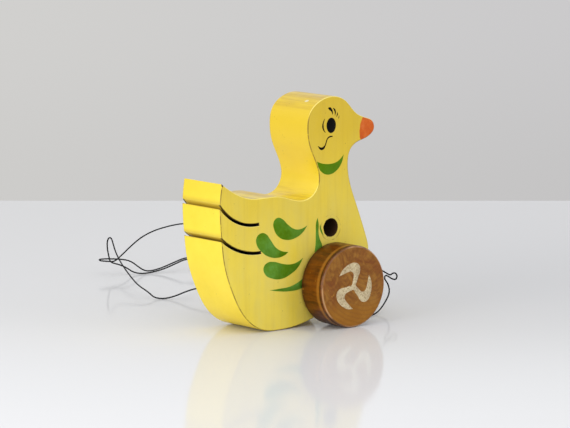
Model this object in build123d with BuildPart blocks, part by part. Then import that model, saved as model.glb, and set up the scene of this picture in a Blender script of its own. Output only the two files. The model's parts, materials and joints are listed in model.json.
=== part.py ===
"""A wooden pull-along duck: a sawn board on two wheels, with a thread to pull it by.

Millimetres. +X points the way the duck is pulled, +Y to its left and +Z up. The origin is on
the floor, under the middle of the board's length and thickness.
"""
import os
from math import cos, radians, sin, tan

from build123d import *

# Board
body_length = 96.0          # from the tail to the tip of the beak
body_height = 111.0         # from the floor to the top of the head
board_thickness = 29.5
edge_round = 0.45           # sanded edge between a side and the sawn edge
feather_round = 2.0         # lower corner of each upper tail feather
kerf_width = 1.3            # saw cut between two tail feathers

# Cross hole, right through the board above the axle
cross_hole_diameter = 9.0
cross_hole_x = 20.2
cross_hole_height = 47.0

# Wheels and axle
wheel_diameter = 40.0
wheel_width = 16.0
wheel_edge_round = 1.3
wheel_gap = 1.1             # between a wheel and the board's side
axle_x = 20.4
axle_diameter = 8.0
axle_clearance = 0.05       # radial, in the board's bore
axle_seat = 10.0            # glued length in each wheel
axle_end_chamfer = 0.6
seat_end_gap = 0.5          # room for glue past the axle's end

# Thread
cord_diameter = 0.8
cord_clearance = 0.4        # radial, in its bore
cord_slope = 31.0           # degrees below level, from the cross hole out through the chest
knot_diameter = 3.2
knot_length = 3.0
knot_round = 1.0
pocket_clearance = 0.2      # radial, round the knot that stops the thread
pocket_inset = 0.6          # from the cross hole to the knot
end_knot_diameter = 2.6
end_knot_length = 3.0
end_knot_round = 0.8

axle_height = wheel_diameter / 2
board_side = board_thickness / 2


def on_board(along, up):
    """A point of the sawing pattern: percent of the length from the tail, and of the height."""
    return (body_length * (along / 100 - 0.5), body_height * up / 100)


# The board's outline: one smooth curve from the tail's sharp upper corner round to it again
tail_corner = on_board(1.3, 66.4)
back = [
    on_board(9.2, 62.0), on_board(18.6, 59.0), on_board(29.0, 58.6), on_board(38.0, 58.4),
    on_board(51.0, 55.7), on_board(58.4, 56.9), on_board(63.4, 62.8),
]
head = [
    on_board(61.9, 70.6), on_board(57.3, 79.4), on_board(56.0, 86.0), on_board(58.0, 94.2),
    on_board(64.8, 98.7), on_board(72.8, 100.0), on_board(80.6, 97.8), on_board(87.6, 92.0),
]
beak = [on_board(94.2, 89.4), on_board(98.9, 87.5), on_board(100.0, 84.6), on_board(94.6, 80.4)]
chest = [
    on_board(88.0, 78.6), on_board(84.0, 75.6), on_board(82.5, 70.4), on_board(83.6, 62.4),
    on_board(88.4, 51.2), on_board(93.9, 39.0), on_board(96.6, 29.0),
]
belly = [on_board(93.0, 20.0), on_board(78.0, 10.8), on_board(59.6, 3.2), on_board(39.0, 0.0)]
rump = [
    on_board(26.6, 1.1), on_board(16.6, 6.6), on_board(8.0, 18.4), on_board(2.6, 31.6),
    on_board(0.9, 42.6), on_board(0.0, 54.6),
]
outline = [tail_corner, *back, *head, *beak, *chest, *belly, *rump, tail_corner]

# Each saw cut: three points of its middle line, from behind the tail to its blunt end
upper_cut = [on_board(-1.6, 58.8), on_board(9.6, 49.8), on_board(24.4, 47.4)]
lower_cut = [on_board(-1.6, 44.6), on_board(9.6, 37.6), on_board(25.6, 35.0)]

# The thread leaves the cross hole's axis and goes down the slope, out through the chest
hole_axis = Vector(cross_hole_x, 0, cross_hole_height)
cord_way = Vector(cos(radians(cord_slope)), 0, -sin(radians(cord_slope)))
knot_start = cross_hole_diameter / 2 + pocket_inset
cord_start = knot_start + knot_length


def across_cord(distance):
    """The plane square to the thread's bore, this far from the cross hole's axis."""
    return Plane(origin=hole_axis + cord_way * distance, x_dir=(0, 1, 0), z_dir=cord_way)


# The thread's route after its bore. It is waxed and stiff, so its kinks and loops stand up.
cord_route = [
    # straight down the slope, in front of the chest
    (36.5, 0.1, 37.3), (46.8, 0.1, 30.9), (56.9, -0.1, 25.1), (64.1, 0.0, 20.5), (68.2, 0.1, 18.3),
    # a small curl back on itself, and a sharp turn down
    (71.2, 0.0, 16.2), (73.2, 0.0, 17.8), (75.6, -0.1, 17.3), (76.6, -0.2, 15.0),
    (74.8, -0.5, 13.3), (71.4, -0.9, 14.7), (67.6, -1.2, 17.0), (66.6, -1.3, 15.9),
    # round to the floor, and under the chest to the left side
    (68.6, -1.9, 12.6), (68.6, -3.2, 8.6), (64.2, -5.4, 5.0), (58.2, -8.6, 2.2),
    (52.2, -11.3, 0.4), (44.6, -13.6, 0.4), (36.2, -11.5, 0.4), (30.2, -3.5, 0.4),
    (31.2, 8.0, 0.4), (36.2, 19.0, 0.4), (38.2, 32.0, 0.4), (35.2, 46.0, 3.0),
    (29.2, 59.0, 7.0), (21.2, 71.0, 8.0), (11.1, 82.6, 5.6),
    # it touches the floor, then climbs to a narrow loop
    (2.2, 90.2, 0.4), (-4.4, 94.2, 0.4), (-5.3, 98.8, 3.3), (-3.4, 110.2, 5.2),
    (2.6, 124.6, 7.3), (11.5, 144.5, 10.7), (18.8, 159.2, 14.0), (23.1, 167.3, 17.3),
    (24.7, 170.5, 19.1), (25.0, 172.2, 20.0), (24.4, 173.5, 19.5), (23.8, 173.8, 16.8),
    (23.8, 173.2, 12.6), (23.8, 171.9, 9.3), (23.6, 170.8, 7.3), (24.6, 169.3, 6.6),
    # down to the floor, over a low hump, and a wide turn on the floor
    (27.4, 167.7, 5.7), (31.1, 166.6, 3.9), (35.2, 165.8, 1.0), (38.2, 162.2, 0.4),
    (44.5, 162.3, 0.5), (49.8, 160.3, 1.6), (56.0, 158.4, 3.8), (62.6, 155.6, 6.9),
    (74.6, 151.0, 7.0), (85.6, 147.5, 3.2), (95.6, 146.0, 0.4), (105.2, 148.5, 0.4),
    (110.6, 156.0, 0.4), (108.2, 165.0, 0.4), (99.6, 168.5, 0.4), (88.6, 165.0, 2.0),
    # back beside itself to a tight fold
    (76.6, 159.5, 6.0), (63.6, 157.4, 7.3), (56.7, 160.2, 4.4), (50.7, 162.0, 2.2),
    (45.7, 163.8, 1.0), (42.1, 165.2, 1.2), (38.7, 166.9, 3.9), (35.9, 168.5, 6.7),
    (32.4, 170.3, 7.8), (27.3, 172.9, 8.4), (23.0, 175.1, 9.0), (20.6, 176.3, 9.4),
    (19.0, 176.9, 8.8), (19.2, 176.7, 7.2), (21.0, 175.8, 6.7), (24.2, 174.4, 6.7),
    # one high bow, and down to the floor again, where it ends in a knot
    (28.3, 173.4, 6.5), (33.4, 174.4, 9.0), (40.3, 175.2, 13.3), (48.3, 176.4, 17.4),
    (57.3, 176.8, 20.2), (68.4, 178.0, 21.5), (81.5, 182.6, 21.2), (95.6, 187.6, 19.0),
    (109.6, 187.5, 14.5), (120.2, 180.5, 8.0), (125.6, 169.5, 2.4), (125.2, 157.5, 0.4),
    (119.2, 147.0, 0.4), (110.6, 140.0, 1.4),
]
arc_share = 0.45            # of the shorter run beside a turn, taken by its arc


left_side = Plane.XZ.offset(-board_side)    # its normal is -Y, so work runs to the right side

with BuildPart() as duck_body:
    with BuildSketch(left_side):
        with BuildLine():
            Spline(outline)
        make_face()
        for middle_line in (upper_cut, lower_cut):
            with BuildLine(mode=Mode.PRIVATE) as cut:
                ThreePointArc(*middle_line)
            trace(cut.line, line_width=kerf_width, mode=Mode.SUBTRACT)
    extrude(amount=board_thickness)
    # The tail's sawn edge has five corners: the top one, then the two sides of each saw cut
    tail_corners = duck_body.edges().filter_by(Axis.Y).sort_by(Axis.X)[0:5].sort_by(Axis.Z)
    fillet([tail_corners[1], tail_corners[3]], feather_round)
    board_sides = duck_body.faces().filter_by(Axis.Y)
    fillet(board_sides.edges(), edge_round)
    with BuildSketch(left_side):
        with Locations((cross_hole_x, cross_hole_height)):
            Circle(cross_hole_diameter / 2)
        with Locations((axle_x, axle_height)):
            Circle(axle_diameter / 2 + axle_clearance)
    extrude(amount=board_thickness, mode=Mode.SUBTRACT)
    with BuildSketch(across_cord(0)):
        Circle(cord_diameter / 2 + cord_clearance)
    extrude(amount=body_length, mode=Mode.SUBTRACT)
    with BuildSketch(across_cord(0)):
        Circle(knot_diameter / 2 + pocket_clearance)
    extrude(amount=cord_start, mode=Mode.SUBTRACT)
duck_body.part.label = "duck_body"

with BuildPart() as axle:
    with BuildSketch(left_side.offset(-wheel_gap - axle_seat)):
        with Locations((axle_x, axle_height)):
            Circle(axle_diameter / 2)
    extrude(amount=board_thickness + 2 * (wheel_gap + axle_seat))
    chamfer(axle.edges().filter_by(GeomType.CIRCLE), axle_end_chamfer)
axle.part.label = "axle"

wheels = []
for name, out in (("right_wheel", -1), ("left_wheel", 1)):
    inner_face = Plane(
        origin=(axle_x, out * (board_side + wheel_gap), axle_height), z_dir=(0, out, 0)
    )
    with BuildPart() as wheel:
        with BuildSketch(inner_face):
            Circle(wheel_diameter / 2)
        extrude(amount=wheel_width)
        fillet(wheel.edges().filter_by(GeomType.CIRCLE), wheel_edge_round)
        with BuildSketch(inner_face):
            Circle(axle_diameter / 2)
        extrude(amount=axle_seat + seat_end_gap, mode=Mode.SUBTRACT)
    wheel.part.label = name
    wheels.append(wheel)

# The knot that stops the thread in its pocket beside the cross hole
with BuildPart() as stop_knot:
    with BuildSketch(across_cord(knot_start)):
        Circle(knot_diameter / 2)
    extrude(amount=knot_length)
    fillet(stop_knot.edges().filter_by(GeomType.CIRCLE), knot_round)
stop_knot.part.label = "stop_knot"

# The thread itself: straight runs joined by arcs as large as the runs allow
cord_points = [hole_axis + cord_way * cord_start] + [Vector(*point) for point in cord_route]
runs = [after - before for before, after in zip(cord_points, cord_points[1:])]
arc_radii = [
    arc_share * min(run.length, following.length) / tan(radians(run.get_angle(following)) / 2)
    for run, following in zip(runs, runs[1:])
]
print("arc radii", [round(radius, 1) for radius in arc_radii])
with BuildPart() as pull_cord:
    with BuildLine() as route:
        FilletPolyline(*cord_points, radius=arc_radii)
    with BuildSketch(Plane(origin=cord_points[0], z_dir=runs[0])):
        Circle(cord_diameter / 2)
    sweep(path=route.wire())
pull_cord.part.label = "pull_cord"
section = Circle(cord_diameter / 2, mode=Mode.PRIVATE).area
print("cord length", round(route.wire().length, 1), "mm")
print("cord volume over section times length", pull_cord.part.volume / section / route.wire().length)

# The knot that ends the thread
with BuildPart() as end_knot:
    with BuildSketch(Plane(origin=cord_points[-1], z_dir=runs[-1])):
        Circle(end_knot_diameter / 2)
    extrude(amount=end_knot_length)
    fillet(end_knot.edges().filter_by(GeomType.CIRCLE), end_knot_round)
end_knot.part.label = "end_knot"

os.makedirs("parts", exist_ok=True)
for piece in (duck_body, axle, *wheels, stop_knot, pull_cord, end_knot):
    export_step(piece.part, f"parts/{piece.part.label}.step")
    print(piece.part.label, round(piece.part.volume, 1), "mm3")
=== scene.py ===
# %% [markdown]
# # The looks of a wooden pull-along duck
#
# The toy is a duck sawn from one board, painted yellow, on two stained wheels, with a thin
# waxed thread to pull it by. Its shape, its sizes and its one joint are already made: they
# come in as a fixed frame. This lesson adds what a frame can't hold: enamel and its wear,
# hand-painted marks, turned and stained wood, a twisted thread with real knots, and soft light.

import json
import math

import bmesh
import bpy
from mathutils import Matrix, Vector


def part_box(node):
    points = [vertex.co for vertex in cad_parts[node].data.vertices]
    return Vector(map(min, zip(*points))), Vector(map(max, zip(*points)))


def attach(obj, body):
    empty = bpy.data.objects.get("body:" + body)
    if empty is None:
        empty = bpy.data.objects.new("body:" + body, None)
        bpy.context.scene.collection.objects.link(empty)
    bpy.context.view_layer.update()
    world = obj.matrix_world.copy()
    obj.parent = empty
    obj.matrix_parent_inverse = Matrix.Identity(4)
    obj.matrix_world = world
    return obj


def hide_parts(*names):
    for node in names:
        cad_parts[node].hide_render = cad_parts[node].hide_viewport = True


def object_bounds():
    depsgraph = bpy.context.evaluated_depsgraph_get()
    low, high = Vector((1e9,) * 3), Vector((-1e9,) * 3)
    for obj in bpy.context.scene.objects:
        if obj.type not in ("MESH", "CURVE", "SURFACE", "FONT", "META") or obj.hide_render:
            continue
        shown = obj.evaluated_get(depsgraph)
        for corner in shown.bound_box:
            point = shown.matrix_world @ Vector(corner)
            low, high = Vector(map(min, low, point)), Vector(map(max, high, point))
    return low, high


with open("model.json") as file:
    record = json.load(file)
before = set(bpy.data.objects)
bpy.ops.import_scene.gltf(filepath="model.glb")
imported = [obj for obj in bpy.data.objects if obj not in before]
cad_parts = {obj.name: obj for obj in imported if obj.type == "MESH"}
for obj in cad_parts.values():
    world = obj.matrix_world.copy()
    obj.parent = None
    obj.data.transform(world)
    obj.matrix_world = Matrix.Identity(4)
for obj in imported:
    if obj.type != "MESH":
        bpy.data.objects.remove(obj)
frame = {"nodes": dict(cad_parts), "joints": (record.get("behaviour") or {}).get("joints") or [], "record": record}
nodes = frame["nodes"]
cad_low, cad_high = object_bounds()
MM = 0.001
board_low, board_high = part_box("duck_body")
wheel_low, wheel_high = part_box("right_wheel")
hub = Vector(frame["joints"][0]["pos_m"])
mount = frame["record"]["mounts"][0]
hole = Vector(mount["pos_m"])
hole_radius = mount["dims"]["r_mm"] * MM
board_side = board_high.y
wheel_side = -wheel_low.y
wheel_width = wheel_high.y - wheel_low.y
print("board side", round(board_side / MM, 2), "mm, wheel face", round(wheel_side / MM, 2), "mm")

# %% [markdown]
# ## The camera
#
# A product shot of something small is taken from far off with a long lens, so that near and
# far edges stay nearly parallel. The camera looks from the duck's tail quarter, a little from
# above, at a point near the middle of the board.

# %% Place the camera
def placed(name, data):
    """A new object in the scene, at the origin."""
    made = bpy.data.objects.new(name, data)
    bpy.context.scene.collection.objects.link(made)
    return made


azimuth = math.radians(-39.313)
elevation = math.radians(8.108)
camera_distance = 1.6276
looked_at = (board_low + board_high) / 2 + Vector((3.6, 0, -2.0)) * MM

camera_back = Vector((
    math.sin(azimuth) * math.cos(elevation),
    -math.cos(azimuth) * math.cos(elevation),
    math.sin(elevation),
))
camera = placed("camera", bpy.data.cameras.new("camera"))
camera.data.sensor_width = 36
camera.data.lens = 211.65
camera.location = looked_at + camera_back * camera_distance
camera.rotation_euler = (-camera_back).to_track_quat("-Z", "Y").to_euler()
bpy.context.scene.camera = camera
print("camera at", [round(value, 3) for value in camera.location])

# %% [markdown]
# ## The thread's route
#
# The pull thread is waxed and stiff, so it keeps the kinks and loops that it was left in. One
# smooth NURBS curve carries it: the points below pull the curve towards them, and none of them
# makes a corner. It starts at the stop knot in the board and runs straight out of the chest.

# %% Lay the route
route_points = [
    (0.0271, 0.0, 0.0428), (0.0365, 0.0001, 0.0373), (0.0468, 0.0001, 0.0309),
    (0.0569, -0.0001, 0.0251), (0.0641, 0.0, 0.0205), (0.0682, 0.0001, 0.0183),
    # a small curl back on itself, and a sharp turn down
    (0.0716, 0.0, 0.0163), (0.0735, 0.0, 0.0175), (0.0755, -0.0001, 0.0170),
    (0.0761, -0.0002, 0.0151), (0.0746, -0.0005, 0.0138), (0.0715, -0.0009, 0.0149),
    (0.0683, -0.0011, 0.0169), (0.0668, -0.0013, 0.0166),
    (0.0666, -0.0015, 0.0150),
    # round to the floor, and under the chest to the left side
    (0.0686, -0.0019, 0.0126), (0.0686, -0.0032, 0.0086), (0.0642, -0.0054, 0.0050),
    (0.0582, -0.0086, 0.0022), (0.0522, -0.0113, 0.0004), (0.0446, -0.0136, 0.0004),
    (0.0362, -0.0115, 0.0004), (0.0302, -0.0035, 0.0004), (0.0312, 0.0080, 0.0004),
    (0.0362, 0.0190, 0.0004), (0.0382, 0.0320, 0.0004), (0.0352, 0.0460, 0.0030),
    (0.0292, 0.0590, 0.0070), (0.0212, 0.0710, 0.0080), (0.0111, 0.0826, 0.0056),
    # it touches the floor, then climbs to a narrow loop
    (0.0022, 0.0902, 0.0004), (-0.0044, 0.0942, 0.0004), (-0.0053, 0.0988, 0.0033),
    (-0.0034, 0.1102, 0.0052), (0.0026, 0.1246, 0.0073), (0.0115, 0.1445, 0.0107),
    (0.0188, 0.1592, 0.0140), (0.0231, 0.1673, 0.0173), (0.0247, 0.1705, 0.0191),
    (0.0250, 0.1722, 0.0200), (0.0244, 0.1735, 0.0195), (0.0238, 0.1738, 0.0168),
    (0.0238, 0.1732, 0.0126), (0.0238, 0.1719, 0.0093), (0.0236, 0.1708, 0.0073),
    (0.0246, 0.1693, 0.0066),
    # down to the floor, over a low hump, and a wide turn on the floor
    (0.0274, 0.1677, 0.0057), (0.0311, 0.1666, 0.0039), (0.0352, 0.1658, 0.0010),
    (0.0382, 0.1622, 0.0004), (0.0445, 0.1623, 0.0005), (0.0498, 0.1603, 0.0016),
    (0.0560, 0.1584, 0.0038), (0.0626, 0.1556, 0.0069), (0.0746, 0.1510, 0.0070),
    (0.0856, 0.1475, 0.0032), (0.0956, 0.1460, 0.0004), (0.1052, 0.1485, 0.0004),
    (0.1106, 0.1560, 0.0004), (0.1082, 0.1650, 0.0004), (0.0996, 0.1685, 0.0004),
    (0.0886, 0.1650, 0.0020),
    # back beside itself to a tight fold
    (0.0766, 0.1595, 0.0060), (0.0636, 0.1574, 0.0073), (0.0567, 0.1602, 0.0044),
    (0.0507, 0.1620, 0.0022), (0.0457, 0.1638, 0.0010), (0.0421, 0.1652, 0.0012),
    (0.0387, 0.1669, 0.0039), (0.0359, 0.1685, 0.0065), (0.0324, 0.1706, 0.0077),
    (0.0275, 0.1736, 0.0081), (0.0234, 0.1760, 0.0082), (0.0214, 0.1769, 0.0081),
    (0.0200, 0.1759, 0.0079), (0.0205, 0.1743, 0.0076), (0.0224, 0.1739, 0.0073),
    (0.0248, 0.1735, 0.0070),
    # one high bow, and down to the floor again, where it ends in a knot
    (0.0283, 0.1734, 0.0065), (0.0334, 0.1744, 0.0090), (0.0403, 0.1752, 0.0133),
    (0.0483, 0.1764, 0.0174), (0.0573, 0.1768, 0.0202), (0.0684, 0.1780, 0.0215),
    (0.0815, 0.1826, 0.0212), (0.0956, 0.1876, 0.0190), (0.1096, 0.1875, 0.0145),
    (0.1202, 0.1805, 0.0080), (0.1256, 0.1695, 0.0024), (0.1252, 0.1575, 0.0004),
    (0.1192, 0.1470, 0.0004), (0.1106, 0.1400, 0.0014),
]
print("the route has", len(route_points), "points")


# %% Draw the line
def mesh_of(curve):
    """The mesh that a curve shows. The curve itself is used up."""
    carrier = bpy.data.objects.new(curve.name, curve)
    mesh = bpy.data.meshes.new_from_object(carrier)
    bpy.data.objects.remove(carrier)
    bpy.data.curves.remove(curve)
    return mesh


def nurbs_line(points, resolution):
    """Points along a smooth NURBS curve that these points control."""
    curve = bpy.data.curves.new("line", "CURVE")
    curve.dimensions = "3D"
    curve.resolution_u = resolution
    spline = curve.splines.new("NURBS")
    spline.points.add(len(points) - 1)
    for control, point in zip(spline.points, points):
        control.co = (*point, 1)
    spline.order_u = 3
    spline.use_endpoint_u = True
    mesh = mesh_of(curve)
    line = [vertex.co.copy() for vertex in mesh.vertices]
    bpy.data.meshes.remove(mesh)
    return line


thread_line = nurbs_line(route_points, resolution=28)
steps = zip(thread_line, thread_line[1:])
thread_length = sum((after - before).length for before, after in steps)
print("thread route", round(thread_length, 4), "m in", len(thread_line), "points")

# %% [markdown]
# ## Three plies, twisted
#
# A thread this thick is three finer ones wound round each other. Each ply follows a helix round
# the route. The helix needs a frame that doesn't spin by itself, so the sideways direction is
# carried from point to point and only kept square to the line. Each ply is a curve with a round
# bevel, made a mesh and welded into one piece.

# %% Wind the plies
thread_diameter = 0.8 * MM
ply_count = 3
ply_radius = 0.24 * MM
twist_pitch = 4.8 * MM


def ply_lines(line):
    """Lines that wind round this one, evenly spaced round it."""
    side = (line[1] - line[0]).orthogonal().normalized()
    turn = 0.0
    plies = [[] for _ in range(ply_count)]
    for index, point in enumerate(line):
        before = line[max(index - 1, 0)]
        after = line[min(index + 1, len(line) - 1)]
        along = (after - before).normalized()
        side = (side - along * side.dot(along)).normalized()
        turn += (point - before).length / twist_pitch * math.tau
        for number, ply in enumerate(plies):
            angle = turn + number * math.tau / ply_count
            outward = side * math.cos(angle) + along.cross(side) * math.sin(angle)
            ply.append(point + outward * (thread_diameter / 2 - ply_radius))
    return plies


# %% Make tubes and pieces
def tube_mesh(line, radii):
    """A closed round tube along a line of points, with its own radius at each."""
    curve = bpy.data.curves.new("tube", "CURVE")
    curve.dimensions = "3D"
    curve.bevel_depth = 1.0
    curve.bevel_resolution = 1
    curve.use_fill_caps = True
    spline = curve.splines.new("POLY")
    spline.points.add(len(line) - 1)
    for control, point, radius in zip(spline.points, line, radii):
        control.co = (*point, 1)
        control.radius = radius
    return mesh_of(curve)


def ply_meshes(line):
    """A tube for each ply of a thread along this line."""
    return [tube_mesh(ply, [ply_radius] * len(ply)) for ply in ply_lines(line)]


def piece_from(name, meshes, body):
    """One piece made of these meshes, with doubles merged, that rides on a body."""
    shape = bmesh.new()
    for mesh in meshes:
        shape.from_mesh(mesh)
        bpy.data.meshes.remove(mesh)
    bmesh.ops.remove_doubles(shape, verts=shape.verts, dist=0.001 * MM)
    bmesh.ops.recalc_face_normals(shape, faces=shape.faces)
    joined = bpy.data.meshes.new(name)
    shape.to_mesh(joined)
    shape.free()
    piece = placed(name, joined)
    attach(piece, body)
    print(name, len(joined.polygons), "faces")
    return piece


# %% Twist the pull thread
def twisted(name, line, body, extra=()):
    """A twisted thread along a line, with any extra meshes in the same piece."""
    piece = piece_from(name, [*ply_meshes(line), *extra], body)
    piece.data.shade_smooth()
    return piece


pull_thread = twisted("pull_thread", thread_line, "duck")
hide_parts("pull_cord")

# %% [markdown]
# ## The knots
#
# A thread through a hole is held by an overhand knot. Drawn tight, its line is close to the
# trefoil, the simplest closed knot, so the same twisted thread is run once round a trefoil
# that is scaled to the knot's size. A short cut end sticks out, and its fibres fan apart.

# %% Lead a line through a knot
knot_steps = 90
knot_radius = 1.15 * MM
knot_half_length = 0.95 * MM


def knot_line(centre, way):
    """A tight trefoil round an axis, through its centre."""
    turn = way.to_track_quat("Z", "X").to_matrix()
    line = []
    for step in range(knot_steps + 1):
        angle = math.tau * step / knot_steps
        reach = (2 + math.cos(3 * angle)) / 3
        local = Vector((
            knot_radius * reach * math.cos(2 * angle),
            knot_radius * reach * math.sin(2 * angle),
            knot_half_length * math.sin(3 * angle),
        ))
        line.append(centre + turn @ local)
    return line


# %% Fray a cut end
cut_end_steps = 6
fibre_count = 7
fibre_radius = 0.05 * MM
fibre_turn = 2.4


def cut_end(start, way, length, spread):
    """A short end of thread and the loose fibres at its tip."""
    tip = start + way * length
    middle = [start.lerp(tip, step / cut_end_steps) for step in range(cut_end_steps + 1)]
    meshes = ply_meshes(middle)
    side = way.orthogonal().normalized()
    for index in range(fibre_count):
        angle = index * fibre_turn
        outward = side * math.cos(angle) + way.cross(side) * math.sin(angle)
        # no two neighbouring fibres are equally long
        reach = spread * (0.5 + 0.5 * ((index * 0.37) % 1))
        line = [tip, tip + way * reach + outward * reach * 0.3]
        line.append(line[1] + way * reach * 0.7 + outward * reach * 0.6)
        meshes.append(tube_mesh(line, [fibre_radius, fibre_radius * 0.8, fibre_radius * 0.4]))
    return meshes


# %% Tie both knots
def knot(name, node, way, tail_length, spread):
    """An overhand knot in the place of a plain CAD one, with its cut end."""
    low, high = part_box(node)
    centre = (low + high) / 2
    end = cut_end(centre + way * knot_half_length, way, tail_length, spread)
    piece = twisted(name, knot_line(centre, way), "duck", end)
    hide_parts(node)
    return piece


thread_way = (thread_line[1] - thread_line[0]).normalized()
end_way = (thread_line[-1] - thread_line[-2]).normalized()
stopper_knot = knot("stopper_knot", "stop_knot", -thread_way, 0.7 * MM, 0.3 * MM)
tail_knot = knot("tail_knot", "end_knot", end_way, 2.2 * MM, 1.4 * MM)

# %% [markdown]
# ## Helpers for materials
#
# A material is a small network. These helpers each add one node and give back its output, so
# that a recipe reads like a sum. All patterns are in metres on Object coordinates, so they sit
# still on a piece while it moves, and a scale of 1000 means about one feature in a millimetre.

# %% Add a node
def add(tree, kind, inputs=None, **settings):
    """One shader node: its settings first, then its inputs, as values or other outputs."""
    node = tree.nodes.new(kind)
    for key, value in settings.items():
        setattr(node, key, value)
    for key, value in (inputs or {}).items():
        if isinstance(value, bpy.types.NodeSocket):
            tree.links.new(value, node.inputs[key])
        else:
            node.inputs[key].default_value = value
    return node


# %% Sums and masks
def calc(tree, operation, first, second=0.0, third=0.0):
    """One sum on numbers."""
    inputs = {0: first, 1: second, 2: third}
    return add(tree, "ShaderNodeMath", inputs, operation=operation).outputs[0]


def times(tree, first, second):
    """The product of two values: for two masks, where both of them are."""
    return calc(tree, "MULTIPLY", first, second)


def apart(tree, first, second):
    """How far apart two values are."""
    return calc(tree, "ABSOLUTE", calc(tree, "SUBTRACT", first, second))


def ease(tree, value, start, end, low=0.0, high=1.0):
    """low up to start, high from end on, and a smooth step between."""
    inputs = {"Value": value, "From Min": start, "From Max": end, "To Min": low, "To Max": high}
    node = add(tree, "ShaderNodeMapRange", inputs, interpolation_type="SMOOTHSTEP")
    return node.outputs["Result"]


def fade(tree, value, start, end):
    """1 up to start, 0 from end on, and a smooth step between."""
    return ease(tree, value, start, end, 1.0, 0.0)


def tint(tree, factor, first, second, mode="MIX"):
    """Two colours mixed by a factor. 6, 7 and 2 are the Mix node's colour sockets."""
    inputs = {0: factor, 6: first, 7: second}
    return add(tree, "ShaderNodeMix", inputs, data_type="RGBA", blend_type=mode).outputs[2]


# %% Places and patterns
def scaled(tree, vector, factors):
    """A vector with each part multiplied, which stretches a pattern the other way."""
    node = add(tree, "ShaderNodeVectorMath", {0: vector, 1: factors}, operation="MULTIPLY")
    return node.outputs[0]


def moved(tree, vector, offset):
    """A vector measured from another place."""
    node = add(tree, "ShaderNodeVectorMath", {0: vector, 1: offset}, operation="SUBTRACT")
    return node.outputs[0]


def noise(tree, vector, scale, detail=3.0, roughness=0.5, distortion=0.0):
    """A cloudy value between 0 and 1."""
    inputs = {
        "Vector": vector, "Scale": scale, "Detail": detail,
        "Roughness": roughness, "Distortion": distortion,
    }
    return add(tree, "ShaderNodeTexNoise", inputs).outputs["Fac"]


def parts(tree, vector):
    """The x, y and z of a vector."""
    return add(tree, "ShaderNodeSeparateXYZ", {0: vector}).outputs


def distance(tree, position, centre, kept=(1, 1, 1)):
    """How far a point is from a centre. A part of the offset that isn't kept doesn't count."""
    offset = scaled(tree, moved(tree, position, centre), kept)
    return add(tree, "ShaderNodeVectorMath", {0: offset}, operation="LENGTH").outputs["Value"]


def distance_in_plane(tree, position, centre):
    """How far a point is from a line along Y through the centre."""
    return distance(tree, position, centre, (1, 0, 1))


# %% Colours and groups
def color(red, green, blue):
    """A colour from its display values, 0 to 255, as the shader wants it."""
    linear = [
        value / 255 / 12.92 if value <= 10 else ((value / 255 + 0.055) / 1.055) ** 2.4
        for value in (red, green, blue)
    ]
    return (*linear, 1.0)


def group_of(name, inputs, outputs):
    """An empty node group with named sockets, and its two ends."""
    group = bpy.data.node_groups.new(name, "ShaderNodeTree")
    for label, (kind, value) in inputs.items():
        socket = group.interface.new_socket(label, in_out="INPUT", socket_type=kind)
        if value is not None:
            socket.default_value = value
    for label, kind in outputs.items():
        group.interface.new_socket(label, in_out="OUTPUT", socket_type=kind)
    start = group.nodes.new("NodeGroupInput").outputs
    end = group.nodes.new("NodeGroupOutput").inputs
    return group, start, end


FLOAT, COLOR, VECTOR = "NodeSocketFloat", "NodeSocketColor", "NodeSocketVector"
print("a display value of 128 is", round(color(128, 128, 128)[0], 3), "to the shader")

# %% [markdown]
# ## Effects that several finishes share
#
# Some effects come back in more than one place, so each is a node group with its own named
# inputs: cloudy unevenness of a colour, the fine streaks of a brush, a saw or a lathe, wear
# along the rounded edge between a side and a sawn face, and small specks of dirt. Copying the
# nodes into every material would work too, but a group is made and mended in one place.

# %% Unevenness of a colour
uneven, given, result = group_of(
    "uneven colour",
    {"Colour": (COLOR, (1, 1, 1, 1)), "Position": (VECTOR, None), "Scale": (FLOAT, 60.0),
     "Amount": (FLOAT, 0.1)},
    {"Colour": COLOR},
)
broad = noise(uneven, given["Position"], given["Scale"], 2.0)
fine_scale = times(uneven, given["Scale"], 7.0)
fine = noise(uneven, given["Position"], fine_scale, 4.0, 0.6)
fine_share = times(uneven, fine, 0.3)
both = calc(uneven, "MULTIPLY_ADD", broad, 0.7, fine_share)
spread = times(uneven, calc(uneven, "SUBTRACT", both, 0.5), given["Amount"])
varied = add(uneven, "ShaderNodeHueSaturation", {
    "Color": given["Colour"],
    "Hue": calc(uneven, "MULTIPLY_ADD", spread, 0.08, 0.5),
    "Saturation": calc(uneven, "MULTIPLY_ADD", spread, -0.6, 1.0),
    "Value": calc(uneven, "MULTIPLY_ADD", spread, 2.0, 1.0),
})
uneven.links.new(varied.outputs["Color"], result["Colour"])
print(uneven.name, "has", len(uneven.nodes), "nodes")

# %% Fine streaks
streaks, given, result = group_of(
    "streaks",
    {"Position": (VECTOR, None), "Scale": (FLOAT, 1000.0)},
    {"Height": FLOAT},
)
coarse_scale = times(streaks, given["Scale"], 0.3)
coarse = noise(streaks, given["Position"], coarse_scale, 2.0)
thin = noise(streaks, given["Position"], given["Scale"], 3.0, 0.6)
thin_share = times(streaks, thin, 0.4)
streaks.links.new(calc(streaks, "MULTIPLY_ADD", coarse, 0.6, thin_share), result["Height"])
print(streaks.name, "has", len(streaks.nodes), "nodes")

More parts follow.
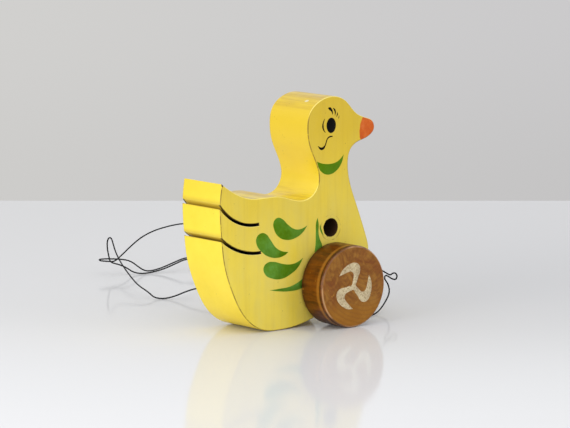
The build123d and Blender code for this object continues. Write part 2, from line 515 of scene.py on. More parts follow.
# %% Wear along an edge
edge_wear, given, result = group_of(
    "edge wear",
    {"Facing": (FLOAT, 0.0), "Position": (VECTOR, None), "Amount": (FLOAT, 0.5)},
    {"Edge": FLOAT, "Wear": FLOAT},
)
edge_in = ease(edge_wear, given["Facing"], 0.08, 0.35)
edge_out = fade(edge_wear, given["Facing"], 0.93, 0.995)
on_edge = times(edge_wear, edge_in, edge_out)
patchy = noise(edge_wear, given["Position"], 260.0, 5.0, 0.7)
threshold = calc(edge_wear, "SUBTRACT", 1.0, given["Amount"])
rubbed = ease(edge_wear, calc(edge_wear, "SUBTRACT", patchy, threshold), -0.02, 0.03)
edge_wear.links.new(on_edge, result["Edge"])
edge_wear.links.new(times(edge_wear, on_edge, rubbed), result["Wear"])
print(edge_wear.name, "has", len(edge_wear.nodes), "nodes")

# %% Specks of dirt
specks, given, result = group_of(
    "specks",
    {"Position": (VECTOR, None), "Scale": (FLOAT, 700.0), "Size": (FLOAT, 0.12)},
    {"Specks": FLOAT},
)
cells = add(specks, "ShaderNodeTexVoronoi", {"Vector": given["Position"], "Scale": given["Scale"]})
chosen = ease(specks, noise(specks, given["Position"], 140.0, 2.0), 0.55, 0.62)
small = calc(specks, "LESS_THAN", cells.outputs["Distance"], given["Size"])
specks.links.new(times(specks, small, chosen), result["Specks"])
print(specks.name, "has", len(specks.nodes), "nodes")

# %% [markdown]
# ## One way to end each material
#
# Every finish ends in the same shader, so one function makes it. Roughness and height may vary
# over the surface. A varnish or enamel gloss is a coat, and it is the same all over.

# %% The shader
def new_material(name):
    """An empty material, its node tree and its Object coordinates."""
    material = bpy.data.materials.new(name)
    material.use_nodes = True
    tree = material.node_tree
    tree.nodes.clear()
    position = add(tree, "ShaderNodeTexCoord").outputs["Object"]
    return material, tree, position


def shade(tree, base, roughness, height=None, depth=0.02 * MM, coat=0.0, coat_roughness=0.1,
          specular=0.5):
    """The Principled shader at the end of a recipe. depth is how deep the bumps look."""
    inputs = {
        "Base Color": base, "Roughness": roughness, "Coat Weight": coat,
        "Coat Roughness": coat_roughness, "Specular IOR Level": specular,
    }
    if height is not None:
        bumps = {"Height": height, "Distance": depth, "Strength": 1.0}
        inputs["Normal"] = add(tree, "ShaderNodeBump", bumps).outputs["Normal"]
    shader = add(tree, "ShaderNodeBsdfPrincipled", inputs)
    add(tree, "ShaderNodeOutputMaterial", {"Surface": shader.outputs["BSDF"]})


def grouped(tree, group, inputs):
    """A node group placed in a material with its own values."""
    return add(tree, "ShaderNodeGroup", inputs, node_tree=group).outputs


# %% [markdown]
# ## Bare and stained wood
#
# Wood shows long fibres one way and short dark pores across them. Stretching a noise along the
# fibres gives both. The bare kind is seen where paint has gone, and on the axle.

# %% Wood grain as a group
grain, given, result = group_of(
    "wood grain",
    {"Position": (VECTOR, None), "Pale": (COLOR, (1, 1, 1, 1)), "Dark": (COLOR, (0, 0, 0, 1))},
    {"Colour": COLOR, "Height": FLOAT},
)
fibres = noise(grain, given["Position"], 420.0, 5.0, 0.65, 0.4)
bands = noise(grain, given["Position"], 90.0, 2.0, 0.5, 0.8)
band_share = times(grain, bands, 0.45)
mixed = calc(grain, "MULTIPLY_ADD", fibres, 0.55, band_share)
paleness = ease(grain, mixed, 0.36, 0.64)
grain.links.new(tint(grain, paleness, given["Dark"], given["Pale"]), result["Colour"])
grain.links.new(mixed, result["Height"])
print("shared effects:", [group.name for group in bpy.data.node_groups])

# %% The axle's bare dowel
bare_wood, tree, position = new_material("bare_beech")
dowel = grouped(tree, grain, {
    "Position": scaled(tree, position, (2.2, 0.12, 2.2)),
    "Pale": color(196, 160, 112), "Dark": color(150, 108, 66),
})
shade(tree, dowel["Colour"], 0.62, dowel["Height"], 0.05 * MM)
nodes["axle"].material_slots[0].material = bare_wood
print(bare_wood.name, "is on the axle")

# %% [markdown]
# ## The yellow enamel
#
# The board was brushed with yellow enamel. On the two flat sides the vertical grain shows
# through a little, and on the sawn edges the saw's marks run straight across. A painted image
# could show all this, but it would need unwrapping and would blur close up. Masks made from
# where a point is, and which way the surface faces there, stay sharp at any size.

# %% Where things are on the board
beak_centre = Vector((51.5, 0, 92.3)) * MM
beak_reach = 13.0 * MM
upper_cut = ((-49.54, 65.27), (-38.78, 55.28), (-24.58, 52.61))
lower_cut = ((-49.54, 49.51), (-38.78, 41.74), (-23.42, 38.85))
kerf_half = 0.78 * MM


def circle_through(cut):
    """The centre and radius, in metres, of the circle through three points of a saw cut."""
    first, middle, last = (Vector(point) * MM for point in cut)
    across, beyond = middle - first, last - first
    twice_area = 2 * across.cross(beyond)
    offset_x = (beyond.y * across.length_squared - across.y * beyond.length_squared) / twice_area
    offset_z = (across.x * beyond.length_squared - beyond.x * across.length_squared) / twice_area
    return Vector((first.x + offset_x, 0, first.y + offset_z)), math.hypot(offset_x, offset_z)


for cut in (upper_cut, lower_cut):
    print("saw cut radius", round(circle_through(cut)[1] / MM, 1), "mm")

# %% Mix the enamel
enamel, tree, position = new_material("yellow_enamel")
normal = add(tree, "ShaderNodeNewGeometry").outputs["Normal"]
facing = calc(tree, "ABSOLUTE", parts(tree, normal)[1])
upward = parts(tree, normal)[2]
is_side = ease(tree, facing, 0.9, 0.99)
x_at, y_at, z_at = parts(tree, position)[:3]
wobble = noise(tree, position, 420.0, 3.0)
# up to half a millimetre either way
wander = times(tree, calc(tree, "SUBTRACT", wobble, 0.5), MM)

along_side = scaled(tree, position, (1, 1, 0.04))
side_streaks = grouped(tree, streaks, {"Position": along_side, "Scale": 1100.0})["Height"]
along_saw = scaled(tree, position, (1, 0.05, 1))
saw_marks = grouped(tree, streaks, {"Position": along_saw, "Scale": 900.0})["Height"]
height = tint(tree, is_side, saw_marks, side_streaks)

paint = grouped(tree, uneven, {
    "Colour": color(243, 216, 55), "Position": position, "Scale": 38.0, "Amount": 0.14,
})["Colour"]
# painted shade: the paint turns a darker gold towards the top of the board
golden = ease(tree, z_at, 45 * MM, 105 * MM, 0.0, 0.82)
paint = tint(tree, golden, paint, color(218, 184, 30))
print("enamel so far:", len(tree.nodes), "nodes")

# %% [markdown]
# The sides are paler in chalky clouds low down, a painted light, and a duller yellow from
# half-way up, a painted shade, with a little grain. The edges that face up are end grain, which
# soaked up more paint in streaks.

# %% Paint light and shade on the sides and soak the end grain
clouds = noise(tree, scaled(tree, position, (1, 1, 0.35)), 85.0, 4.0, 0.6)
# painted light: the chalky clouds are paler low down on the sides
painted_light_low = ease(tree, z_at, 30 * MM, 100 * MM, 1.0, 0.25)
chalk_and_painted_light = times(tree, ease(tree, clouds, 0.3, 0.7, 0.3, 0.8), painted_light_low)
paint = tint(tree, times(tree, chalk_and_painted_light, is_side), paint, color(224, 206, 104))
grain_shows = ease(tree, side_streaks, 0.46, 0.66, 0.0, 0.12)
paint = tint(tree, times(tree, grain_shows, is_side), paint, color(190, 156, 52))
# painted shade: the sides turn duller from half-way up
painted_shade_high = times(tree, is_side, ease(tree, z_at, 28 * MM, 60 * MM, 0.0, 0.32))
paint = tint(tree, painted_shade_high, paint, color(224, 214, 190), "MULTIPLY")
not_flat = calc(tree, "SUBTRACT", 1.0, is_side)
end_grain = times(tree, ease(tree, upward, 0.35, 0.95), not_flat)
soaked = times(tree, end_grain, ease(tree, saw_marks, 0.44, 0.6, 0.0, 0.5))
paint = tint(tree, soaked, paint, color(172, 130, 38))
print("enamel so far:", len(tree.nodes), "nodes")

# %% [markdown]
# The beak was dipped in orange, so its border is part of a circle. Hands have worn the rounded
# edges to bare old wood in patches. Where an edge faces up it is glossier and has a painted
# highlight; where it faces down or sideways it is darker, with grime and painted shade together.

# %% Dip the beak and wear the edges
from_beak = calc(tree, "ADD", distance_in_plane(tree, position, beak_centre), wander)
beak_blur = 0.12 * MM
is_beak = fade(tree, from_beak, beak_reach - beak_blur, beak_reach + beak_blur)
orange = grouped(tree, uneven, {
    "Colour": color(206, 92, 0), "Position": position, "Scale": 260.0, "Amount": 0.4,
})["Colour"]
paint = tint(tree, is_beak, paint, orange)

edges = grouped(tree, edge_wear, {"Facing": facing, "Position": position, "Amount": 0.53})
old_wood = grouped(tree, grain, {
    "Position": scaled(tree, position, (2.0, 2.0, 0.3)),
    "Pale": color(150, 112, 60), "Dark": color(84, 56, 26),
})["Colour"]
not_facing_up = fade(tree, upward, 0.1, 0.3)
# grime and painted shade: a darker line on the edges that face down or sideways
grime_and_shade_edge = times(tree, edges["Edge"], not_facing_up)
worn = times(tree, edges["Wear"], not_facing_up)
# painted highlight: a pale line on the edges that face up, which are also glossier
painted_highlight_edge = times(tree, edges["Edge"], ease(tree, upward, 0.25, 0.45))
paint = tint(tree, times(tree, grime_and_shade_edge, 0.55), paint, color(128, 108, 26))
paint = tint(tree, times(tree, worn, 0.6), paint, old_wood)
paint = tint(tree, times(tree, painted_highlight_edge, 0.6), paint, color(252, 240, 150))
print("enamel so far:", len(tree.nodes), "nodes")

# %% [markdown]
# The cross hole was bored through the paint, so its rim is chipped ragged and a hair crack runs
# round it. Its wall and chipped rim are dark wood, with painted shade on top that makes them
# darker than bare wood. The noise that bends both borders is the same one.

# %% Bore through the paint
from_hole = distance_in_plane(tree, position, hole)
ragged = calc(tree, "MULTIPLY_ADD", wander, 2.2, hole_radius - 0.05 * MM)
past_rim = calc(tree, "SUBTRACT", from_hole, ragged)
chipped = fade(tree, past_rim, -0.1 * MM, 0.1 * MM)
hole_wall = fade(tree, from_hole, hole_radius + 0.02 * MM, hole_radius + 0.1 * MM)
hole_wood_and_shade = calc(tree, "MAXIMUM", chipped, hole_wall)
crack_radius = hole_radius + 1.7 * MM
off_crack = apart(tree, from_hole, crack_radius)
off_crack = calc(tree, "MULTIPLY_ADD", wander, 1.2, off_crack)
crack = times(tree, ease(tree, off_crack, 0.05 * MM, 0.22 * MM, 0.5, 0.0), is_side)
paint = tint(tree, crack, paint, color(150, 124, 40))
# painted shade: the hole's wall and chipped rim are darker than the bare wood
paint = tint(tree, hole_wood_and_shade, paint, color(58, 34, 12))
print("hole radius", round(hole_radius / MM, 2), "mm, crack radius", round(crack_radius / MM, 2), "mm")

# %% [markdown]
# The saw cuts are narrow slots, and light hardly reaches into them. Their mouths at the tail
# still hold yellow paint. Further in, and near the flat sides, the cut wood is dark, and painted
# shade takes it from olive to near black within a few millimetres. The lower lip of each
# feather above a cut has a soft painted shade. The cuts are arcs, so the distance from an
# arc's centre says what is in a cut.

# %% Darken the saw cuts
rear = board_low.x
in_cuts = 0.0
lips = 0.0
for cut in (upper_cut, lower_cut):
    centre, radius = circle_through(cut)
    off_arc = calc(tree, "SUBTRACT", distance_in_plane(tree, position, centre), radius)
    off_middle = calc(tree, "ABSOLUTE", off_arc)
    near_arc = fade(tree, off_middle, kerf_half - 0.08 * MM, kerf_half)
    cut_end_x = cut[2][0] * MM
    before_end = fade(tree, x_at, cut_end_x + 0.2 * MM, cut_end_x + 0.4 * MM)
    in_cuts = calc(tree, "MAXIMUM", in_cuts, times(tree, near_arc, before_end))
    above = ease(tree, off_arc, -kerf_half - 1.5 * MM, -kerf_half)
    not_below = fade(tree, off_arc, kerf_half, kerf_half + 0.3 * MM)
    lips = calc(tree, "MAXIMUM", lips, times(tree, above, not_below))
not_side = fade(tree, facing, 0.55, 0.9)
at_rear = fade(tree, x_at, rear + 6 * MM, rear + 9 * MM)
lip_shade = times(tree, lips, times(tree, at_rear, not_side))
# painted shade on the rounded lip above each cut, at the tail
paint = tint(tree, times(tree, lip_shade, 0.4), paint, color(176, 146, 34))

in_cuts = times(tree, in_cuts, not_side)
# the cut wood is dark, with painted shade: olive at the mouth, near black deeper in and near the sides
past_mouth = ease(tree, x_at, rear + 1 * MM, rear + 5 * MM)
mouth_paint_and_shade = tint(tree, past_mouth, color(204, 172, 44), color(128, 104, 26))
from_side = calc(tree, "SUBTRACT", board_side, calc(tree, "ABSOLUTE", y_at))
inward = fade(tree, from_side, 0.6 * MM, 2.0 * MM)
deep_dark_and_shade = calc(tree, "MAXIMUM", ease(tree, x_at, rear + 4 * MM, rear + 10 * MM), inward)
paint = tint(tree, in_cuts, paint, tint(tree, deep_dark_and_shade, mouth_paint_and_shade, color(26, 17, 6)))
print("enamel so far:", len(tree.nodes), "nodes")

# %% [markdown]
# What is left is small: a pale chip on the crown, a brown one at the tail's corner, paint
# rubbed off where the board drags on the floor, and specks of dirt. The gloss goes on last. It
# is duller where the wood is bare and sharper on the edges that face up, where the highlight is painted.

# %% Chip, rub and varnish
chip_places = (((12.5, -6.0, 108.5), 0.9 * MM), ((-46.6, -14.7, 73.9), 1.1 * MM))
chips = 0.0
for place, size in chip_places:
    away = distance(tree, position, Vector(place) * MM)
    away = calc(tree, "MULTIPLY_ADD", wander, 2.5, away)
    chips = calc(tree, "MAXIMUM", chips, fade(tree, away, size * 0.85, size))
at_head = ease(tree, x_at, -20 * MM, -10 * MM)
paint = tint(tree, chips, paint, tint(tree, at_head, color(70, 50, 24), color(224, 214, 170)))

low_down = fade(tree, z_at, 0.15 * MM, 0.6 * MM)
rubbed = times(tree, low_down, ease(tree, wobble, 0.42, 0.56))
paint = tint(tree, rubbed, paint, old_wood)
dirt = grouped(tree, specks, {"Position": position, "Scale": 420.0, "Size": 0.1})["Specks"]
paint = tint(tree, times(tree, dirt, 0.45), paint, color(120, 92, 30))

bare = calc(tree, "MAXIMUM", calc(tree, "MAXIMUM", hole_wood_and_shade, in_cuts), worn)
gloss = ease(tree, noise(tree, position, 150.0, 4.0), 0.35, 0.7, 0.3, 0.42)
gloss = calc(tree, "MULTIPLY_ADD", painted_highlight_edge, -0.14, gloss)
gloss = calc(tree, "MAXIMUM", gloss, times(tree, bare, 0.75))
shade(tree, paint, gloss, height, 0.035 * MM, coat=0.15, coat_roughness=0.14, specular=0.3)
nodes["duck_body"].material_slots[0].material = enamel
print(enamel.name, "has", len(tree.nodes), "nodes")

# %% [markdown]
# ## The stained wheels
#
# A wheel is a slice of a turned rod, so its face is end grain, which drinks stain in blotches,
# and its rim shows fibres that run along the axle. The lathe left fine rings round the rim.
# Face and rim are two small recipes, and the way the surface faces chooses between them. Clear
# varnish goes over it all.

# %% Stain the face
def wheel_face(tree, from_hub, clouds):
    """Clouded end grain with a golden patch low down, and faint growth rings."""
    face = tint(tree, ease(tree, clouds, 0.38, 0.62), color(126, 74, 14), color(154, 104, 34))
    redder = ease(tree, noise(tree, from_hub, 75.0, 3.0, 0.5, 1.0), 0.5, 0.68, 0.0, 0.5)
    face = tint(tree, redder, face, color(124, 62, 16))
    patch_edge = calc(tree, "MULTIPLY_ADD", clouds, 14 * MM, parts(tree, from_hub)[2])
    golden = ease(tree, patch_edge, -6 * MM, 2 * MM, 0.6, 0.0)
    face = tint(tree, golden, face, color(162, 106, 14))
    ring_centre = moved(tree, from_hub, (9 * MM, 0, 14 * MM))
    rings = add(tree, "ShaderNodeTexWave", {
        "Vector": scaled(tree, ring_centre, (1, 0, 1)), "Scale": 150.0, "Distortion": 3.0,
        "Detail": 3.0, "Detail Scale": 0.6,
    }, wave_type="RINGS", rings_direction="SPHERICAL").outputs["Fac"]
    return tint(tree, ease(tree, rings, 0.5, 1.0, 0.0, 0.16), face, color(84, 46, 12))


# %% Stain the rim
def wheel_rim(tree, from_hub, lathe):
    """Amber fibres along the axle, with the lathe's rings round them."""
    fibres = grouped(tree, grain, {
        "Position": scaled(tree, from_hub, (1.3, 0.22, 1.3)),
        "Pale": color(120, 62, 0), "Dark": color(60, 26, 0),
    })["Colour"]
    return tint(tree, ease(tree, lathe, 0.4, 0.62, 0.0, 0.35), fibres, color(80, 38, 0))


# %% [markdown]
# Counted inwards from the face, the rim shows a dark line, a paler strip that is a painted
# highlight, and a dark band of painted shade beside the board. The rounded corner carries a
# painted highlight in patches.

# %% Finish both wheels
dark_line_at, dark_line_reach = 1.7 * MM, 0.6 * MM
rim_highlight_at, rim_highlight_reach = 3.2 * MM, 1.7 * MM


def stained_wheel(name, node, seed):
    """Stained and varnished turned wood, centred on the wheel's own axis."""
    material, tree, position = new_material(name)
    normal = add(tree, "ShaderNodeNewGeometry").outputs["Normal"]
    facing = calc(tree, "ABSOLUTE", parts(tree, normal)[1])
    is_face = ease(tree, facing, 0.86, 0.99)
    from_hub = moved(tree, position, (hub.x, seed, hub.z))
    clouds = noise(tree, from_hub, 130.0, 6.0, 0.62, 1.6)
    round_rim = scaled(tree, from_hub, (0.02, 1, 0.02))
    lathe = grouped(tree, streaks, {"Position": round_rim, "Scale": 900.0})["Height"]
    rim = wheel_rim(tree, from_hub, lathe)
    base = tint(tree, is_face, rim, wheel_face(tree, from_hub, clouds))

    from_middle = calc(tree, "ABSOLUTE", parts(tree, position)[1])
    depth_in = calc(tree, "SUBTRACT", wheel_side, from_middle)
    # painted highlight: a paler strip round the rim
    rim_highlight = ease(tree, apart(tree, depth_in, rim_highlight_at), 0.1 * MM, rim_highlight_reach, 0.42, 0.0)
    base = tint(tree, rim_highlight, base, color(190, 128, 44))
    # a dark line round the rim, a little way in from the face
    from_line = apart(tree, depth_in, dark_line_at)
    dark_line = ease(tree, from_line, 0.1 * MM, dark_line_reach, 0.8, 0.0)
    # painted shade: a dark band on the rim beside the board
    inner_shade = ease(tree, depth_in, wheel_width - 5 * MM, wheel_width - 0.5 * MM, 0.0, 0.7)
    for dark in (dark_line, inner_shade):
        base = tint(tree, dark, base, color(46, 22, 2))

    # painted highlight: pale patches on the rounded corner
    from_rim = ease(tree, facing, 0.45, 0.75)
    corner = times(tree, from_rim, fade(tree, facing, 0.9, 0.98))
    corner_highlight_patches = ease(tree, noise(tree, from_hub, 60.0, 3.0), 0.42, 0.58, 0.15, 0.7)
    base = tint(tree, times(tree, corner, corner_highlight_patches), base, color(204, 158, 110))
    spots = grouped(tree, specks, {"Position": from_hub, "Scale": 330.0, "Size": 0.16})["Specks"]
    base = tint(tree, times(tree, spots, 0.55), base, color(186, 128, 40))

    height = tint(tree, is_face, lathe, clouds)
    gloss = ease(tree, clouds, 0.3, 0.7, 0.34, 0.46)
    shade(tree, base, gloss, height, 0.05 * MM, coat=0.16, coat_roughness=0.2, specular=0.2)
    nodes[node].material_slots[0].material = material
    print(name, "is on", node, "with", len(tree.nodes), "nodes")


stained_wheel("stained_maple_right", "right_wheel", 0.0)
stained_wheel("stained_maple_left", "left_wheel", 0.11)

# %% [markdown]
# ## Waxed thread
#
# Black linen, darkened and stuck together by wax. It is nearly black, with a dull blue sheen on
# the crown of each ply, and a fine noise stands for its lint. Real fibres along the whole thread
# would cost far more faces than they would show.

# %% Wax the thread
waxed, tree, position = new_material("waxed_linen")
lint = noise(tree, position, 2600.0, 3.0, 0.6)
linen = tint(tree, ease(tree, lint, 0.4, 0.68), color(2, 2, 4), color(17, 18, 25))
shade(tree, linen, ease(tree, lint, 0.3, 0.7, 0.38, 0.62), lint, 0.04 * MM, specular=0.12)
for piece in (pull_thread, stopper_knot, tail_knot):
    piece.data.materials.append(waxed)
print(waxed.name, "is on the thread and its knots")

# %% [markdown]
# ## Hand-painted marks
#
# The wing, the neck band and the face were painted over the enamel with a small brush, so each
# mark is a thin skin of its own colour with a rounded rim. A filled 2D curve gives that skin:
# its outline is a few points, a sharp tip where the brush was lifted, and the curve's own
# extrude and bevel give the thickness of the paint. The points are in millimetres from the
# cross hole, towards the beak and up.

# %% Turn outlines into curves
rim_radius = 0.0175


def flat_curve(name, outline):
    """A closed, filled curve in millimetres. Each stretch of the outline starts at a tip."""
    curve = bpy.data.curves.new(name, "CURVE")
    curve.dimensions = "2D"
    curve.fill_mode = "BOTH"
    curve.extrude = curve.bevel_depth = rim_radius
    curve.bevel_resolution = 1
    curve.resolution_u = 8
    points = [point for stretch in outline for point in stretch]
    tips = {stretch[0] for stretch in outline}
    if points[0] == points[-1]:
        # a ring that comes back to its first point has no tip
        points.pop()
        tips = set()
    spline = curve.splines.new("BEZIER")
    spline.bezier_points.add(len(points) - 1)
    spline.use_cyclic_u = True
    for knot_point, point in zip(spline.bezier_points, points):
        knot_point.co = (*point, 0)
        kind = "VECTOR" if point in tips else "AUTO"
        knot_point.handle_left_type = knot_point.handle_right_type = kind
    return curve


def brush_curve(name, line):
    """A brush line: x, y and width at each point. Its rounded tube is pressed flat later."""
    curve = bpy.data.curves.new(name, "CURVE")
    curve.dimensions = "3D"
    curve.bevel_depth = 0.5
    curve.bevel_resolution = 3
    curve.resolution_u = 8
    curve.use_fill_caps = True
    spline = curve.splines.new("BEZIER")
    spline.bezier_points.add(len(line) - 1)
    for knot_point, (x, y, width) in zip(spline.bezier_points, line):
        knot_point.co = (x, y, 0)
        knot_point.radius = width
        knot_point.handle_left_type = knot_point.handle_right_type = "AUTO"
    return curve


# %% Press curves into skins of paint
film = 0.07 * MM
film_middle = film * 0.3
sharp_from = math.radians(25)


def pressed(curve, thickness):
    """The curve's mesh in metres, with its greatest thickness as asked."""
    mesh = mesh_of(curve)
    tall = max(vertex.co.z for vertex in mesh.vertices)
    mesh.transform(Matrix.Diagonal((MM, MM, thickness / 2 / tall, 1)))
    return mesh


def paint_marks(name, curve, origin, surface, body, material):
    """Lays a mark on the right side, and the same one mirrored on the left side."""
    flat = pressed(curve, film)
    for side, side_name in ((-1, "right"), (1, "left")):
        stand = Matrix(((1, 0, 0, 0), (0, 0, side, 0), (0, 1, 0, 0), (0, 0, 0, 1)))
        place = Matrix.Translation((origin.x, side * (surface + film_middle), origin.z))
        mesh = flat.copy()
        mesh.transform(place @ stand)
        piece = piece_from(f"{name}_{side_name}", [mesh], body)
        piece.data.materials.append(material)
        piece.data.shade_smooth()
        piece.data.set_sharp_from_angle(angle=sharp_from)
    bpy.data.meshes.remove(flat)


print("a mark stands", round((film_middle + film / 2) / MM, 3), "mm proud of its surface")

# %% [markdown]
# The marks' paints are the enamel's cousins: a leaf green with darker strokes in it, a black
# with a faint gloss, and on the wheels an old white that has gone grey and speckled.

# %% Mix the marks' paints
def mark_paint(name, base, scale, amount, speck_color, gloss, thinness):
    """A thin brushed paint with a cloudy colour and a few specks."""
    material, tree, position = new_material(name)
    clouded = grouped(tree, uneven, {
        "Colour": base, "Position": position, "Scale": scale, "Amount": amount,
    })["Colour"]
    along_stroke = scaled(tree, position, (1, 1, 0.2))
    stroke = grouped(tree, streaks, {"Position": along_stroke, "Scale": 700.0})["Height"]
    clouded = tint(tree, ease(tree, stroke, 0.5, 0.7, 0.0, 0.3), clouded, speck_color)
    dots = grouped(tree, specks, {"Position": position, "Scale": 1500.0, "Size": 0.2})["Specks"]
    clouded = tint(tree, times(tree, dots, 0.6), clouded, speck_color)
    thin_spots = ease(tree, noise(tree, position, 1100.0, 5.0, 0.75), 0.5, 0.62, 0.0, thinness)
    clouded = tint(tree, thin_spots, clouded, speck_color)
    roughness = ease(tree, stroke, 0.3, 0.7, gloss, gloss + 0.12)
    shade(tree, clouded, roughness, stroke, 0.02 * MM, specular=0.08)
    print(name, "has", len(tree.nodes), "nodes")
    return material


wing_green = mark_paint("wing_green", color(90, 136, 34), 90.0, 0.9, color(52, 100, 36), 0.34, 0.12)
neck_green = mark_paint("neck_green", color(84, 126, 4), 120.0, 0.4, color(58, 100, 6), 0.34, 0.12)
face_black = mark_paint("face_black", color(4, 4, 3), 200.0, 0.3, color(12, 11, 9), 0.3, 0.2)
old_white = mark_paint("old_white", color(206, 190, 154), 160.0, 0.5, color(132, 100, 60), 0.42, 0.75)

# %% [markdown]
# The wing is three plump drops that curl towards the wheel and two long leaves that rise and
# fall from behind it. A thin green sliver follows the cross hole.

# %% Draw the wing and the neck band
wing = {
    "wing_drop_upper": [[
        (-14.8, 2.3), (-18.8, 1.0), (-22.6, 1.3), (-26.8, 3.8), (-30.4, 6.9), (-33.4, 7.7),
        (-35.7, 5.8), (-35.4, 2.4), (-32.6, -1.5), (-27.4, -3.5), (-21.8, -2.9), (-17.6, -0.7),
    ]],
    "wing_drop_middle": [[
        (-26.6, -9.5), (-30.8, -8.6), (-34.3, -6.6), (-37.7, -2.5), (-40.4, 0.5), (-43.3, 1.2),
        (-46.1, -0.6), (-46.2, -3.8), (-42.6, -8.2), (-38.6, -10.6), (-33.6, -11.6), (-29.2, -10.9),
    ]],
    "wing_drop_lower": [[
        (-17.5, -13.3), (-20.6, -14.8), (-24.8, -15.6), (-30.2, -14.9), (-35.5, -13.4),
        (-39.6, -13.5), (-41.9, -15.6), (-40.9, -19.0), (-36.6, -21.4), (-31.0, -22.1),
        (-25.2, -20.4), (-20.4, -17.3),
    ]],
    "wing_leaf_low": [
        [(-38.0, -27.0), (-31.8, -26.8), (-26.0, -26.5), (-21.4, -25.2), (-16.0, -22.4),
         (-10.5, -18.6)],
        [(-5.0, -14.0), (-8.2, -20.4), (-12.6, -25.2), (-19.0, -28.1), (-26.9, -28.6),
         (-32.6, -28.0)],
    ],
    "wing_leaf_tall": [
        [(-8.3, 5.4), (-9.2, 3.2), (-9.4, -1.0), (-9.5, -6.5), (-10.2, -12.0), (-10.6, -16.0)],
        [(-10.0, -20.0), (-7.6, -14.5), (-5.6, -10.6), (-5.5, -8.0), (-6.9, -5.0), (-7.7, -1.8),
         (-7.6, 2.2)],
    ],
    "wing_sliver": [
        [(-6.7, 2.3), (-6.9, 0.6), (-6.3, -1.4)],
        [(-4.6, -3.6), (-5.2, -1.9), (-6.1, 0.2)],
    ],
}
neck_band = [
    [(-8.7, 32.9), (-7.4, 29.5), (-5.6, 27.5), (-2.9, 26.2), (0.4, 26.2), (3.6, 27.6),
     (5.9, 29.8), (7.2, 32.0)],
    [(8.1, 35.0), (5.8, 32.9), (3.4, 31.7), (0.5, 31.2), (-3.2, 31.3), (-6.4, 32.0)],
]
for name, outline in wing.items():
    paint_marks(name, flat_curve(name, outline), hole, board_side, "duck", wing_green)
curve = flat_curve("neck_band", neck_band)
paint_marks("neck_band", curve, hole, board_side, "duck", neck_green)

# %% [markdown]
# The face is a plain black egg of an eye, with a few brush lines round it: four lashes, a
# fold behind the eye, and a cheek line that hooks at its lower end. A brush line has a width
# at each point: pressed harder, it is wider.

# %% Draw the face
eye_centre = hole + Vector((0.2, 0, 49.9)) * MM
eye_half_width = 2.9
eye_half_height = 3.7
eye_steps = 12
face_lines = {
    "lash_back": [(-1.9, 8.5, 0.5), (-0.9, 8.2, 1.5), (0.4, 7.0, 1.0), (1.0, 5.2, 0.25)],
    "lash_middle": [(1.3, 8.3, 0.4), (2.2, 7.3, 0.9), (2.6, 6.1, 0.7), (2.4, 4.6, 0.2)],
    "lash_front": [(3.9, 6.0, 0.2), (3.9, 5.1, 0.7), (3.3, 3.9, 0.2)],
    "lash_small": [(5.0, 4.5, 0.15), (4.9, 3.7, 0.4), (4.5, 2.9, 0.15)],
    "eye_fold": [
        (-4.0, 3.5, 0.2), (-5.0, 1.6, 0.6), (-5.2, -0.4, 1.0), (-4.6, -2.1, 0.6),
        (-3.6, -3.3, 0.2),
    ],
    "cheek_line": [
        (0.9, -5.4, 0.5), (-0.9, -5.5, 0.7), (-2.4, -6.4, 0.6), (-3.1, -7.9, 0.6),
        (-3.8, -9.5, 0.7), (-5.0, -10.7, 1.3), (-6.4, -10.9, 1.3), (-8.3, -9.5, 0.2),
    ],
}
eye_points = []
for step in range(eye_steps):
    angle = math.tau * step / eye_steps
    eye_points.append((eye_half_width * math.cos(angle), eye_half_height * math.sin(angle)))
curve = flat_curve("eye", [[*eye_points, eye_points[0]]])
paint_marks("eye", curve, eye_centre, board_side, "duck", face_black)
for name, line in face_lines.items():
    paint_marks(name, brush_curve(name, line), eye_centre, board_side, "duck", face_black)

# %% [markdown]
# Each wheel carries a plain three-armed whirl, a common folk ornament. One arm is drawn, in
# millimetres from the hub, and turned three times by a third of a circle. The ring of points is
# then cut anew, so that each stretch starts at an arm's sharp tip.

# %% Draw the wheels' whirls
arm = [
    (-1.3, 0.8), (-0.6, 2.6), (-0.1, 4.5), (-0.1, 6.2), (-0.9, 7.3), (-2.5, 7.6), (-5.4, 7.0),
    (-9.0, 6.0), (-7.6, 8.2), (-5.2, 10.1), (-2.2, 11.4), (0.6, 11.7), (2.8, 10.9), (4.0, 9.1),
    (3.9, 6.9), (2.8, 4.6), (2.1, 2.6),
]
arm_tip = 7
thirds = [Matrix.Rotation(-third * math.tau / 3, 2) for third in range(3)]
ring = [tuple(turn @ Vector(point)) for turn in thirds for point in arm]
ring = ring[arm_tip:] + ring[:arm_tip]
whirl_outline = [ring[i:i + len(arm)] for i in range(0, len(ring), len(arm))]
curve = flat_curve("whirl", whirl_outline)
paint_marks("whirl", curve, hub, wheel_side, "wheel_set", old_white)

# %% [markdown]
# ## The table
#
# The toy stands on a glossy white table, whose far edge is the line behind the toy's back. The
# table is one flat sheet, turned square to the view. Its gloss is weak but sharp: at such a low
# angle even a weak gloss mirrors the toy and the room.

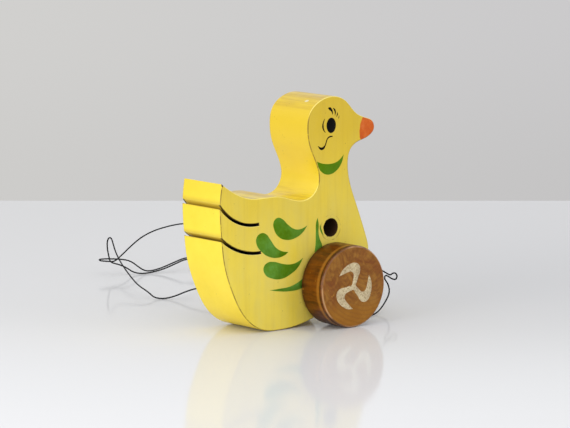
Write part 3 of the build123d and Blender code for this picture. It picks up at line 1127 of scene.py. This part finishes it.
# %% Build the table
table_far = 0.436
table_near = 1.1
table_half_width = 1.1
shape = bmesh.new()
bmesh.ops.create_grid(shape, x_segments=2, y_segments=2, size=0.5)
table_size = (2 * table_half_width, table_far + table_near, 1)
bmesh.ops.scale(shape, vec=table_size, verts=shape.verts)
table_middle = (0, (table_far - table_near) / 2, cad_low.z)
bmesh.ops.translate(shape, vec=table_middle, verts=shape.verts)
turn = Matrix.Rotation(azimuth, 3, "Z")
bmesh.ops.rotate(shape, cent=(0, 0, 0), matrix=turn, verts=shape.verts)
table_mesh = bpy.data.meshes.new("table")
shape.to_mesh(table_mesh)
shape.free()
table = placed("table", table_mesh)
gloss_white, tree, position = new_material("gloss_white")
shade(tree, color(226, 226, 228), 0.09, specular=0.06)
table.data.materials.append(gloss_white)
print("table", [round(side, 3) for side in table_size[:2]], "m")

# %% [markdown]
# ## The room
#
# The world stands for the room. Straight ahead it is a grey wall, a little lighter on the left
# and towards the top. Higher up, above the view, comes a bright ceiling, and between the two
# a dark gap on the right. The table mirrors both, which makes its near part bright and draws a
# soft dark band across it. Painted on the world, all this needs no more objects.

# %% Paint the room
gap_from = 0.152
wall_top = 0.172
ceiling_from = 0.181
world = bpy.data.worlds.new("studio")
world.use_nodes = True
tree = world.node_tree
way = add(tree, "ShaderNodeTexCoord").outputs["Generated"]
rise = parts(tree, way)[2]
rightward = {0: way, 1: (math.cos(azimuth), math.sin(azimuth), 0)}
sideways = add(tree, "ShaderNodeVectorMath", rightward, operation="DOT_PRODUCT").outputs["Value"]
across = ease(tree, sideways, -0.1, 0.1)
low_wall = tint(tree, across, color(205, 204, 202), color(197, 196, 196))
high_wall = tint(tree, across, color(209, 208, 206), color(203, 202, 203))
wall = tint(tree, ease(tree, rise, -0.14, -0.08), low_wall, high_wall)
right_side = ease(tree, sideways, -0.02, 0.05, 0.1, 1.0)
gap = times(tree, ease(tree, rise, gap_from, gap_from + 0.008), right_side)
wall = tint(tree, gap, wall, color(70, 70, 72))
room = tint(tree, ease(tree, rise, wall_top, ceiling_from), wall, color(245, 246, 247))
tree.links.new(room, tree.nodes["Background"].inputs["Color"])
bpy.context.scene.world = world
bpy.context.scene.view_settings.view_transform = "Standard"
print("the ceiling starts", round(math.degrees(math.asin(ceiling_from)), 1), "degrees up")

# %% [markdown]
# ## The lights
#
# Three square soft lights are hidden from the camera. The key stands at the tail's side, low,
# and gives the sawn edge its bright yellow. The fill faces the painted side, and is kept out of
# reflections, so that it leaves no hard bright patch on the table. A small one in front and
# above softens the shadows.

# %% Hang the lights
def soft_light(name, way, distance, size, power):
    """A square soft light, this far from the board along a direction, facing it."""
    light = bpy.data.lights.new(name, "AREA")
    light.shape = "SQUARE"
    light.size = size
    light.energy = power
    lamp = placed(name, light)
    direction = Vector(way).normalized()
    lamp.location = looked_at + direction * distance
    lamp.rotation_euler = (-direction).to_track_quat("-Z", "Y").to_euler()
    lamp.visible_camera = False
    print(name, "light", power, "W at", [round(value, 2) for value in lamp.location])
    return lamp


soft_light("key", (-1.0, -0.15, 0.1), 0.9, 0.45, 4.15)
fill = soft_light("fill", (0.6, -1.0, 0.25), 1.5, 0.6, 2.6)
fill.visible_glossy = False
soft_light("front", (-0.45, -0.6, 0.6), 0.6, 0.4, 0.34)
